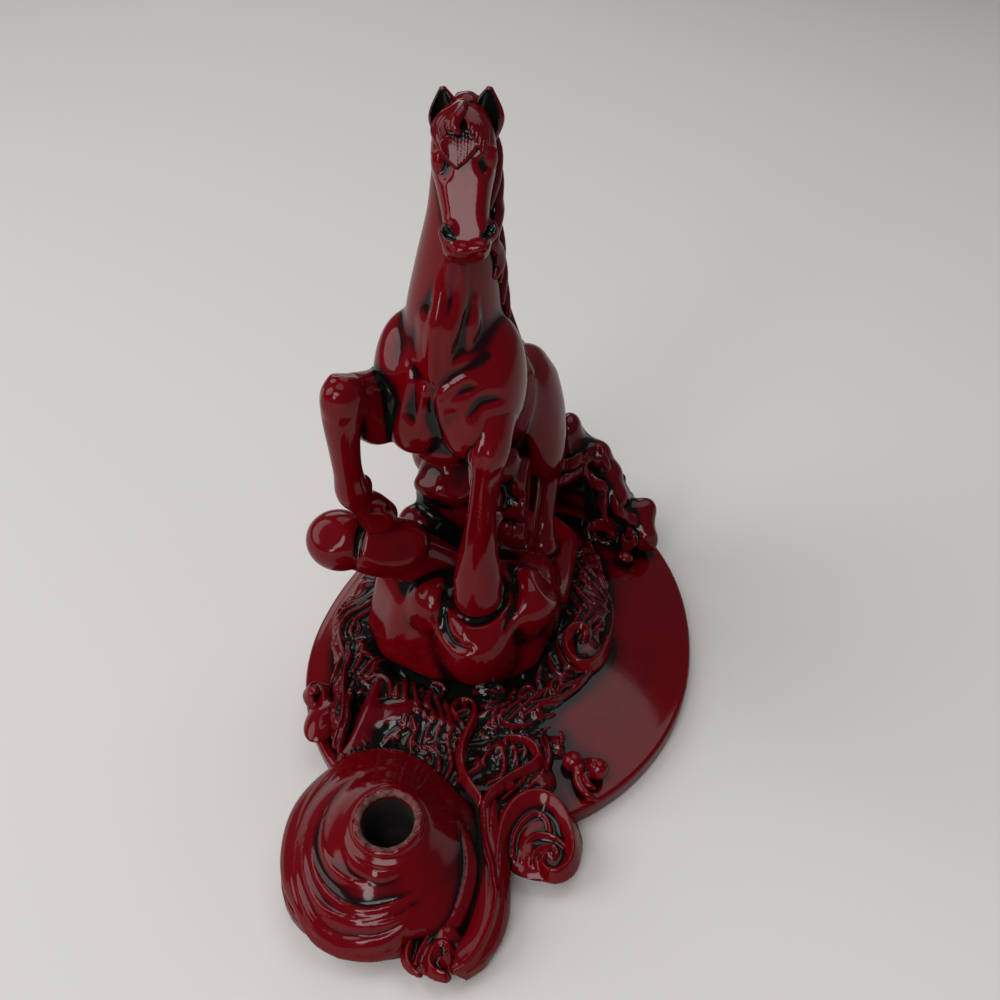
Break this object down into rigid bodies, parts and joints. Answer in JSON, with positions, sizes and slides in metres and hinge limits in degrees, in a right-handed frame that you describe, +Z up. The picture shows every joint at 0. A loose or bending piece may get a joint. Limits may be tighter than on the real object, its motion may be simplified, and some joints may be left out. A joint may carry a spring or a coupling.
{
  "type": "horse pen holder",
  "caption": "Lacquered desk pen holder: a horse springs over a rock in the sea on an oval base that runs out into a water swirl with a slanted pen hole.",
  "frame": {"origin": "on the desk under the oval base, on the plane of the felt's lower face", "axes": "+Z up, -Y to the front where the pen swirl is and the horse looks, +X to the right seen from the front"},
  "size_m": [0.099, 0.1734, 0.1521],
  "materials": {
    "lacquer": "deep red high-gloss lacquer over a cast of resin and wood powder",
    "lacquer_dark": "deep red high-gloss lacquer with near-black stain in the recesses",
    "felt": "short-napped pressed felt",
    "pin_steel": "plain drawn wire",
    "dowel_beech": "plain turned dowel"
  },
  "bodies": {
    "root": {"base_felt": "felt", "base_plate": "lacquer", "base_dome": "lacquer", "pen_socket": "lacquer", "swirl_stem": "lacquer", "front_curl": "lacquer", "side_scroll": "lacquer", "tendril_left": "lacquer", "tendril_right": "lacquer", "foam_bed": "lacquer_dark", "wave_left": "lacquer_dark", "curl_left": "lacquer", "wave_right": "lacquer_dark", "curl_right": "lacquer", "wave_rear": "lacquer_dark", "foam_beads": "lacquer", "rock": "lacquer", "rock_outcrop": "lacquer", "belly_support": "lacquer_dark", "torso": "lacquer", "neck": "lacquer", "head": "lacquer", "ears": "lacquer", "forelock": "lacquer_dark", "mane": "lacquer_dark", "tail": "lacquer_dark", "planted_foreleg": "lacquer", "raised_foreleg": "lacquer", "right_hind_leg": "lacquer", "left_hind_leg": "lacquer", "hoof_pins": "pin_steel", "limb_dowels": "dowel_beech", "base_dowels": "dowel_beech"}
  },
  "joints": []
}
